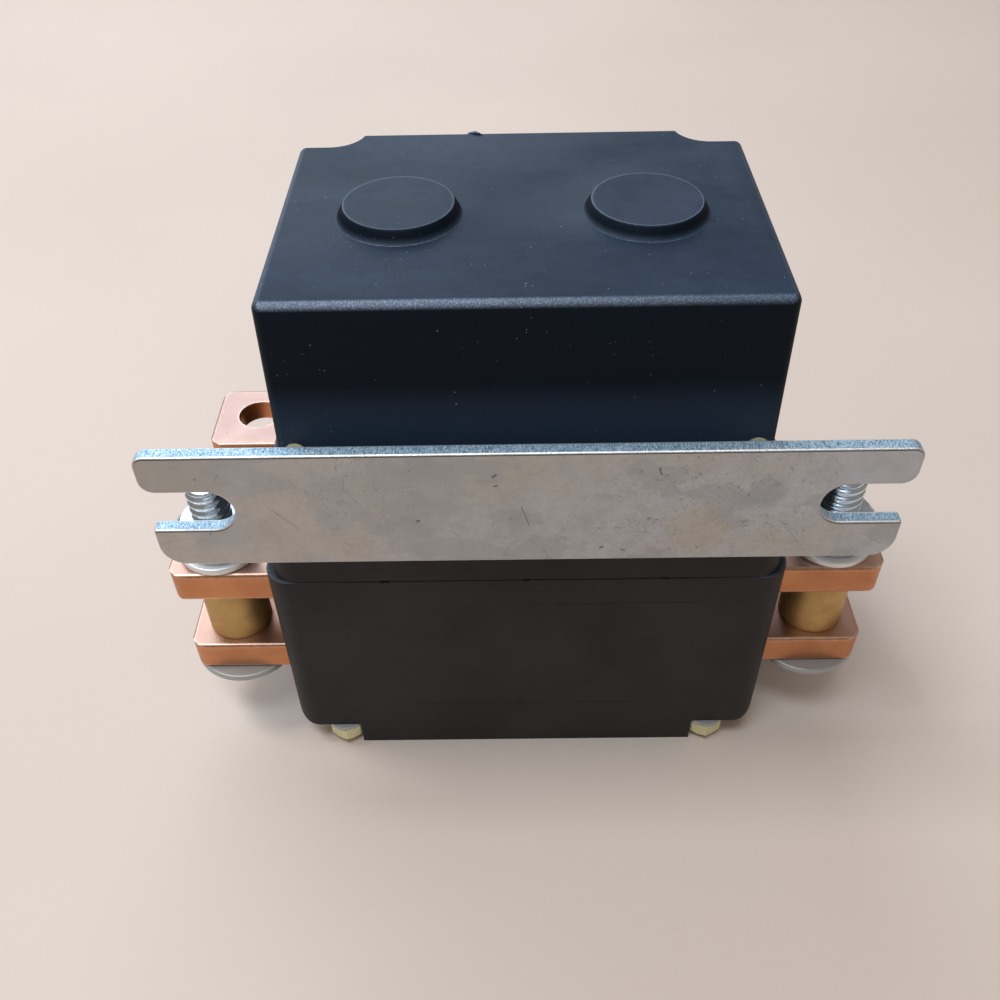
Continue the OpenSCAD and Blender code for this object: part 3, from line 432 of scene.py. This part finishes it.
def plate_face(p, fine, cloud):
    """The tone of the plate's faces: soft grey, warmer on the left, under layers of cloud and stain."""
    slow = p.noise(0.045, 4, 0.6, p.place((3, 0, 9)))
    cold = p.noise(0.07, 3, 0.5, p.place((60, 0, 31), (0, 0.4, 0), (1, 1, 1.6)))
    mottle = p.noise(0.75, 4, 0.75, p.place((21, 0, 13)))
    stain = p.noise(0.07, 3, 0.6, p.place((40, 0, 12), (0, 0.5, 0), (1, 1, 2.2)), 1.5)
    tone = p.mix(p.step(p.split.outputs["X"], -70, 70), (0.49, 0.485, 0.475), (0.55, 0.60, 0.66))
    for field, low, high, share, colour in (
            (slow, 0.40, 0.60, 0.65, (0.52, 0.495, 0.45)),
            (cold, 0.50, 0.56, 0.55, (0.40, 0.425, 0.46)),
            (cloud, 0.5, 0.8, 0.35, (0.40, 0.40, 0.395)),
            (mottle, 0.35, 0.68, 0.36, (0.41, 0.405, 0.40)),
            (fine, 0.42, 0.75, 0.32, (0.37, 0.365, 0.36)),
            (stain, 0.56, 0.7, 0.3, (0.36, 0.345, 0.32))):
        tone = p.mix(p.step(field, low, high, 0.0, share), tone, colour)
    for middle, radius, share, colour in PLATE_STAINS:
        tone = p.mix(p.times(p.spot(middle, radius), share), tone, colour)
    return tone


def plate_marks(p):
    """Dark marks on the plate's faces: pits, scratches, nicks, and crazed patches with dirt."""
    pits = p.most(p.specks(1.2, 0.10, 0.13, 2), p.specks(2.6, 0.10, 0.11, 5))
    hairs = p.most(p.hairs(0.75, "Y", 8, 0.1, 0.21), p.hairs(-0.5, "Y", 6, 0.09, 0.205, 4),
                   p.hairs(1.9, "Y", 5, 0.08, 0.205, 14))
    crazed = p.most(*[p.times(p.spot(middle, radius), share) for middle, radius, share in PLATE_CRAZING])
    wander = p.node("TexNoise", Vector=p.mm, Scale=0.5, Detail=4.0).outputs["Color"]
    cells = p.node("TexVoronoi", {"feature": "DISTANCE_TO_EDGE"}, Scale=0.13,
                   Vector=p.vector("ADD", p.mm, p.vector("SCALE", wander, scale=8)))
    broken = p.step(p.noise(0.7, 2, 0.6, p.place((5, 15, 3))), 0.42, 0.6)
    cracks = p.times(p.step(cells.outputs["Distance"], 0.013, 0.004), crazed, broken)
    dirt = p.times(p.step(p.noise(1.3, 4, 0.75, p.place((9, 1, 6))), 0.57, 0.72), crazed)
    return p.most(p.times(pits, 0.8), p.times(hairs, 0.5), p.times(p.strokes(PLATE_SCRATCHES), 0.4),
                  p.times(p.strokes(PLATE_NICKS), 0.8), p.times(cracks, 0.75), p.times(dirt, 0.5))


def sheared_edge_painted_sparkle(p, shear):
    """The tone of the plate's sheared edges: a painted blue reflection with painted white glints."""
    bright = p.step(p.noise(3.6, 2, 0.8, p.place((7, 3, 1), scale=(1.2, 0.6, 1.2))), 0.54, 0.62)
    tone = p.mix(p.step(shear, 0.35, 0.62), (0.11, 0.27, 0.45), (0.58, 0.79, 0.97))
    return p.mix(bright, tone, (0.88, 0.95, 1.0))


def rim_painted_highlight_and_shade(p):
    """The tone of the rounding between face and edge, all painted light and shade: a painted highlight,
    white where it faces up, a painted dark line beside the face, and painted grey at the ends and below."""
    tilt = p.normal.outputs["Z"]
    sideways = p.math("ABSOLUTE", p.normal.outputs["X"])
    tone = p.mix(p.step(sideways, 0.15, 0.5), (0.13, 0.15, 0.18), (0.50, 0.50, 0.52))
    tone = p.mix(p.step(tilt, 0.45, 0.72), tone, (0.97, 0.98, 1.0))
    return p.mix(p.step(tilt, 0.02, -0.1), tone, (0.62, 0.62, 0.62))


def zinc_sheet(name):
    """Zinc plated sheet: soft grey faces with stains, a few scratches and specks, painted white glints,
    and sheared edges and rims in painted highlight and shade.
    """
    p = Paint(name)
    cloud = p.noise(0.16, 5, 0.65, p.place((11, 0, 2)), 0.6)
    fine = p.noise(2.4, 3, 0.6)
    shear = p.noise(2.8, 4, 0.8, p.place(scale=(1.3, 0.45, 1.3)))
    across = p.math("ABSOLUTE", p.normal.outputs["Y"])
    face = p.step(across, 0.55, 0.97)
    edge = p.math("SUBTRACT", 1.0, face)
    rim = p.times(p.step(across, 0.08, 0.25), p.step(across, 0.985, 0.93))
    tone = p.mix(plate_marks(p), plate_face(p, fine, cloud), (0.13, 0.12, 0.115))
    # White specks: painted glints
    tone = p.mix(p.times(p.specks(1.1, 0.06, 0.10, 31), 0.6), tone, (0.85, 0.86, 0.87))
    tone = p.mix(p.times(p.hairs(1.45, "Y", 14, 0.35, 0.24, 8), 0.3), tone, (0.62, 0.61, 0.60))
    # The rim gets painted highlight and shade, the sheared edge a painted reflection with glints
    tone = p.mix(rim, p.mix(face, sheared_edge_painted_sparkle(p, shear), tone), rim_painted_highlight_and_shade(p))
    face_rough = p.math("ADD", 0.40, p.times(p.step(cloud, 0.3, 0.7), 0.12))
    rough = p.math("ADD", p.times(face, face_rough), p.times(edge, 0.58))
    height = p.math("ADD", p.times(face, fine, 0.18), p.times(edge, shear, 2.0))
    p.set(Base_Color=tone, Metallic=0.9)
    p.set(Roughness=p.math("SUBTRACT", rough, p.times(rim, 0.22)))
    p.set(Normal=p.bump(height, 0.06, 0.8))
    return p.material


# The other materials

def plated(name, tone, second, rough, scale=0.5, grit=0.4, metallic=1.0, shade_painted_below=None):
    """Plated or bare metal: two tones in soft patches, grit, fine scratches, brighter edges.
    What lies below the given height (mm) is darkened by painted shade."""
    p = Paint(name)
    slow = p.noise(scale, 4, 0.6)
    fine = p.noise(scale * 14, 3, 0.7)
    base = p.mix(p.step(slow, 0.35, 0.65), tone, second)
    base = p.mix(p.step(fine, 0.5, 0.8, 0.0, grit), base, shade(tone, 0.6))
    base = p.mix(p.times(p.worn_edges(0.25), 0.6), base, shade(tone, 1.25))
    hairs = p.most(p.hairs(0.6, "Z", 3, 0.09, 0.25), p.hairs(-0.8, "Z", 2.5, 0.08, 0.24, 4),
                   p.hairs(0.3, "Y", 3, 0.1, 0.24, 6))
    base = p.mix(p.times(hairs, 0.4), base, shade(tone, 0.45))
    # Painted shade darkens what lies below that height
    if shade_painted_below is not None:
        low = p.step(p.split.outputs["Z"], shade_painted_below, shade_painted_below - 3)
        base = p.mix(low, base, shade(tone, 0.45))
    p.set(Base_Color=base, Metallic=metallic)
    p.set(Roughness=p.math("ADD", rough, p.times(p.math("SUBTRACT", fine, 0.5), 0.25)))
    p.set(Normal=p.bump(p.math("ADD", fine, p.times(slow, 1.5)), 0.012, 0.6))
    return p.material


def copper(name):
    """Bare copper bar: soft drawing lines along X, dull patches, dark spots, painted sheen, pale rubbed
    edges with painted highlight.
    """
    p = Paint(name)
    up = p.step(p.normal.outputs["Z"], 0.6, 0.95)
    rear = p.step(p.split.outputs["Y"], 4, 10)
    drawn = p.noise(1.0, 2, 0.5, p.place(scale=(0.03, 3.2, 3.2)))
    slow = p.noise(0.1, 4, 0.6, p.place((2, 7, 1)), 0.4)
    grit = p.noise(3.5, 3, 0.7)
    patchy = p.step(p.noise(0.9, 3, 0.75, p.place((4, 4, 4))), 0.38, 0.58, 0.3, 1.0)
    spots = p.most(p.specks(2.9, 0.10, 0.09, 3), p.specks(1.3, 0.04, 0.12, 8))
    base = p.mix(p.step(slow, 0.3, 0.7), (0.60, 0.27, 0.125), (0.53, 0.225, 0.105))
    # Painted sheen: the tops paler, the rear tops darker
    base = p.mix(p.times(up, 0.65), base, (0.66, 0.50, 0.46))
    base = p.mix(p.times(up, rear, 0.9), base, (0.44, 0.30, 0.27))
    base = p.mix(p.step(drawn, 0.4, 0.7, 0.0, 0.08), base, (0.80, 0.44, 0.27))
    base = p.mix(p.step(grit, 0.58, 0.8, 0.0, 0.25), base, (0.42, 0.17, 0.08))
    # Pale edges: rubbing and a painted highlight
    base = p.mix(p.times(p.worn_edges(0.9, 0.01, 0.12), patchy), base, (0.98, 0.78, 0.66))
    base = p.mix(p.times(spots, 0.6), base, (0.22, 0.07, 0.035))
    p.set(Base_Color=base, Metallic=1.0)
    p.set(Roughness=p.math("ADD", 0.36, p.times(p.math("SUBTRACT", slow, 0.4), 0.3)))
    p.set(Normal=p.bump(p.math("ADD", p.times(drawn, 0.3), p.times(grit, 0.5)), 0.012, 0.6))
    return p.material


def soft_plastic(name, tone, rough):
    """Unfilled nylon: slightly see-through looking, with flow marks and fine grain."""
    p = Paint(name)
    flow = p.noise(0.2, 3, 0.6, warp=1.0)
    grain = p.noise(4, 2, 0.5)
    base = p.mix(p.step(flow, 0.3, 0.7), tone, shade(tone, 0.86))
    p.set(Base_Color=base, Roughness=p.math("ADD", rough, p.times(grain, 0.1)))
    p.set(Subsurface_Weight=0.15, Subsurface_Scale=0.001)
    p.set(Normal=p.bump(grain, 0.01, 0.5))
    return p.material


def enamelled(name):
    """Enamelled wire: the winding's turns show as fine rings."""
    p = Paint(name)
    turns = p.node("TexWave", {"bands_direction": "Z"}, Vector=p.mm, Scale=0.5, Distortion=0.3)
    base = p.mix(p.noise(0.3, 3, 0.6), (0.45, 0.13, 0.04), (0.62, 0.22, 0.07))
    p.set(Base_Color=base, Metallic=0.7, Roughness=0.25)
    p.set(Normal=p.bump(turns.outputs["Fac"], 0.15, 0.8))
    return p.material


def floor_paint():
    """Pale paper: faint fibres and very slow unevenness."""
    p = Paint("floor_paper")
    slow = p.noise(0.006, 3, 0.5)
    fibre = p.noise(0.9, 4, 0.7, p.place(turn=(0, 0, 0.3), scale=(0.25, 1, 1)))
    base = p.mix(p.step(slow, 0.3, 0.7), (0.76, 0.64, 0.57), (0.80, 0.67, 0.60))
    base = p.mix(p.step(fibre, 0.5, 0.8, 0.0, 0.10), base, (0.62, 0.52, 0.45))
    p.set(Base_Color=base, Roughness=0.65)
    p.set(Normal=p.bump(fibre, 0.03, 0.5))
    return p.material


# A material for each slot, and a duller zinc for the terminal washers, with painted shade on the low ones
PAINT = {
    "housing_moulding": moulding("moulding_lower", (0.031, 0.029, 0.031), (0.045, 0.060, 0.082), seed=1.0,
                                 dust=0.25, lines=HOUSING_LINES),
    "cover_moulding": moulding("moulding_cover", (0.0015, 0.0065, 0.0150), (0.031, 0.052, 0.092), seed=4.0,
                               dust=0.75, top=COVER_TOP + 0.1),
    "bracket_zinc": zinc_sheet("zinc_sheet"),
    "zinc_plate": plated("bright_zinc", (0.76, 0.88, 1.0), (0.60, 0.75, 0.93), 0.20, grit=0.25),
    "washer_zinc": plated("dull_zinc", (0.98, 0.99, 1.0), (0.92, 0.94, 0.97), 0.34, grit=0.1,
                          metallic=0.30, shade_painted_below=30),
    "yellow_zinc": plated("yellow_zinc", (0.80, 0.77, 0.42), (0.82, 0.79, 0.56), 0.26, scale=0.9,
                          metallic=0.6),
    "spring_steel": plated("spring_steel", (0.50, 0.52, 0.55), (0.42, 0.43, 0.46), 0.3),
    "soft_iron": plated("soft_iron", (0.52, 0.51, 0.50), (0.44, 0.43, 0.42), 0.34),
    "copper_bar": copper("copper"),
    "brass_parts": plated("brass", (0.64, 0.42, 0.165), (0.55, 0.355, 0.135), 0.50, scale=0.25,
                          metallic=0.75),
    "silver_tips": plated("silver", (0.86, 0.85, 0.83), (0.78, 0.77, 0.75), 0.3),
    "nylon": soft_plastic("nylon", (0.72, 0.69, 0.60), 0.4),
    "enamel_wire": enamelled("enamel"),
}
SLOT_OF = {}
for node, solid in frame["nodes"].items():
    SLOT_OF[node] = solid.data.materials[0].name.split(".")[0]
    for slot in solid.material_slots:
        slot.material = PAINT[SLOT_OF[node]]


# Pieces that stand for CAD nodes

def skin(bm, rings):
    """Joins rings of points into a closed tube."""
    for one, two in zip(rings, rings[1:]):
        for k in range(len(one)):
            n = (k + 1) % len(one)
            bm.faces.new((one[k], one[n], two[n], two[k]))
    bm.faces.new(rings[0][::-1])
    bm.faces.new(rings[-1])


def finish_piece(name, bm, slot_name, body, nodes, smooth=SHARP_ANGLE, paint=None):
    """Turns a bmesh into a piece: normals, the slot's material and body, and hides the nodes it stands
    for.
    Its edges are sharp from the angle smooth, in degrees."""
    bmesh.ops.recalc_face_normals(bm, faces=bm.faces)
    mesh = bpy.data.meshes.new(name)
    bm.to_mesh(mesh)
    bm.free()
    for face in mesh.polygons:
        face.use_smooth = True
    mesh.set_sharp_from_angle(angle=math.radians(smooth))
    mesh.materials.append(paint or PAINT[slot_name])
    piece = bpy.data.objects.new(name, mesh)
    bpy.context.scene.collection.objects.link(piece)
    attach(piece, body)
    if nodes:
        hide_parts(*nodes)
    return piece


def firm_normals(piece):
    """Large faces keep their own normal, and only the rounded strips between them turn."""
    weighted = piece.modifiers.new("firm_normals", "WEIGHTED_NORMAL")
    weighted.keep_sharp = True
    weighted.weight = 100
    graph = bpy.context.evaluated_depsgraph_get()
    mesh = bpy.data.meshes.new_from_object(piece.evaluated_get(graph))
    piece.modifiers.clear()
    piece.data = mesh


def node_mesh(node):
    """A CAD node's mesh with its doubled points joined and its flat faces whole."""
    same_place = 1e-6
    same_plane = math.radians(0.5)
    bm = bmesh.new()
    bm.from_mesh(frame["nodes"][node].data)
    bmesh.ops.remove_doubles(bm, verts=bm.verts, dist=same_place)
    bmesh.ops.dissolve_limit(bm, angle_limit=same_plane, verts=bm.verts, edges=bm.edges)
    return bm


def rounded(node, width):
    """A CAD node's copy with its sharp edges broken by a small radius."""
    bm = node_mesh(node)
    sharp = [e for e in bm.edges if e.is_manifold and e.calc_face_angle(0) > math.radians(SHARP_ANGLE)]
    bmesh.ops.bevel(bm, geom=sharp, offset=width * MM, offset_type="OFFSET", segments=BEVEL_SEGMENTS,
                    profile=0.5, affect="EDGES", clamp_overlap=True, miter_outer="ARC")
    dull = node.endswith("_washers") and SLOT_OF[node] == "zinc_plate"
    piece = finish_piece(node + "_dressed", bm, SLOT_OF[node], frame["nodes"][node]["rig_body"], [node],
                         paint=PAINT["washer_zinc"] if dull else None)
    # The cover's discs would get jagged shading at their feet
    if node != "top_cover":
        firm_normals(piece)


def terminal_bolt(side):
    """Hexagon bolt with a chamfered head, a plain shank and a right-hand thread with a blunt crest."""
    node = side + "_terminal_bolt"
    low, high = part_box(node)
    cx, cy = (low[0] + high[0]) / 2 / MM, (low[1] + high[1]) / 2 / MM
    bottom, top = low[2] / MM, high[2] / MM
    head_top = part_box("terminal_washers")[0][2] / MM
    thread_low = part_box("terminal_nuts")[0][2] / MM - THREAD_RUN_OUT
    flat = (high[0] - low[0]) / 2 / MM
    corner = flat / math.cos(math.pi / 6)
    chamfer = (head_top - bottom) * 0.12
    root = STUD_R - THREAD_DEPTH
    steepness, valley, end_slope = 1.75, 0.3, 1.1
    columns, rows_per_turn = 72, 14
    edge, ledge = 0.02, 0.002

    def reach(z, a):
        """The bolt's radius at a height and an angle."""
        if z < head_top:
            across = flat / math.cos((a + math.pi / 6) % (math.pi / 3) - math.pi / 6)
            return min(across, flat + (corner - flat) * min(z - bottom, head_top - z) / chamfer)
        if z < thread_low:
            return STUD_R
        turn = (z / PITCH - a / (2 * math.pi)) % 1
        tooth = min(1, max(0, steepness * (1 - abs(2 * turn - 1)) - valley))
        start = min(1, (z - thread_low) / PITCH)
        threaded = root + THREAD_DEPTH * (tooth * start + 1 - start)
        return min(threaded, STUD_R - STUD_BEVEL + (top - z) * end_slope)

    rows = [bottom, bottom + edge, bottom + chamfer / 2, bottom + chamfer, head_top - chamfer,
            head_top - chamfer / 2, head_top - ledge, head_top + ledge]
    steps = int((top - thread_low) / (PITCH / rows_per_turn))
    rows += [thread_low + (top - thread_low) * k / steps for k in range(steps + 1)]
    bm = bmesh.new()
    rings = []
    for z in rows:
        ring = []
        for k in range(columns):
            a = 2 * math.pi * k / columns
            r = reach(z, a)
            ring.append(bm.verts.new(((cx + r * math.cos(a)) * MM, (cy + r * math.sin(a)) * MM, z * MM)))
        rings.append(ring)
    skin(bm, rings)
    body = frame["nodes"][node]["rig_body"]
    firm_normals(finish_piece(side + "_bolt_threaded", bm, "zinc_plate", body, [node], smooth=40))


def coil(node, turns, body, shortening):
    """A spring wound from round wire, with closed ends. If shortening (mm) is not zero, the spring gets a
    mesh of its own; it is not shortened here."""
    low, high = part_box(node)
    cx, cy = (low[0] + high[0]) / 2, (low[1] + high[1]) / 2
    wire_r = WIRE / 2 * MM
    radius = (high[0] - low[0]) / 2 - wire_r
    height = high[2] - low[2]
    rings_per_turn, sides = 30, 12
    flattened = 0.15
    bm = bmesh.new()
    rings = []
    for i in range(turns * rings_per_turn + 1):
        t = i / (turns * rings_per_turn)
        if t < flattened:
            rise = t * t / (2 * flattened)
        elif t > 1 - flattened:
            rise = 1 - (1 - t) ** 2 / (2 * flattened) - flattened
        else:
            rise = t - flattened / 2
        a = 2 * math.pi * turns * t
        z = low[2] + wire_r + (height - WIRE * MM) * rise / (1 - flattened)
        ring = []
        for k in range(sides):
            b = 2 * math.pi * k / sides
            r = radius + wire_r * math.cos(b)
            ring.append(bm.verts.new((cx + r * math.cos(a), cy + r * math.sin(a),
                                      z + wire_r * math.sin(b))))
        rings.append(ring)
    skin(bm, rings)
    piece = finish_piece(node + "_wound", bm, "spring_steel", body, [node], smooth=60)
    if shortening:
        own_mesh(piece)


def edge_burr():
    """A torn flake of moulding flash that stands on the cover's rear top edge."""
    rng = random.Random(7)
    sides = 10
    sunk = 0.25
    # x, y and the flake's height there
    spine = [(-10.4, 33.6, 0.1), (-9.7, 33.6, 0.34), (-9.0, 33.4, 0.62), (-8.3, 33.0, 0.36),
             (-7.5, 32.6, 0.2), (-6.6, 32.1, 0.08)]
    bm = bmesh.new()
    rings = []
    for x, y, h in spine:
        width = 0.2 + 0.6 * h
        ring = []
        for k in range(sides):
            a = 2 * math.pi * k / sides
            r = 1 + rng.uniform(-0.2, 0.2)
            ring.append(bm.verts.new(((x + rng.uniform(-0.12, 0.12)) * MM,
                                      (y + width * r * math.cos(a)) * MM,
                                      (COVER_TOP - sunk + (h + sunk) * r * math.sin(a)) * MM)))
        rings.append(ring)
    skin(bm, rings)
    finish_piece("edge_burr", bm, "cover_moulding", BODY, [], smooth=50)


make_camera()
make_light()
make_floor()
for node, width in ROUNDED.items():
    rounded(node, width)
edge_burr()
for side in ("left", "right"):
    armature = side + "_armature"
    terminal_bolt(side)
    coil(side + "_return_spring", 8, BODY, TRAVEL)
    coil(side + "_lower_spring", 4, armature, OVERTRAVEL)
    coil(side + "_upper_spring", 5, armature, 0)
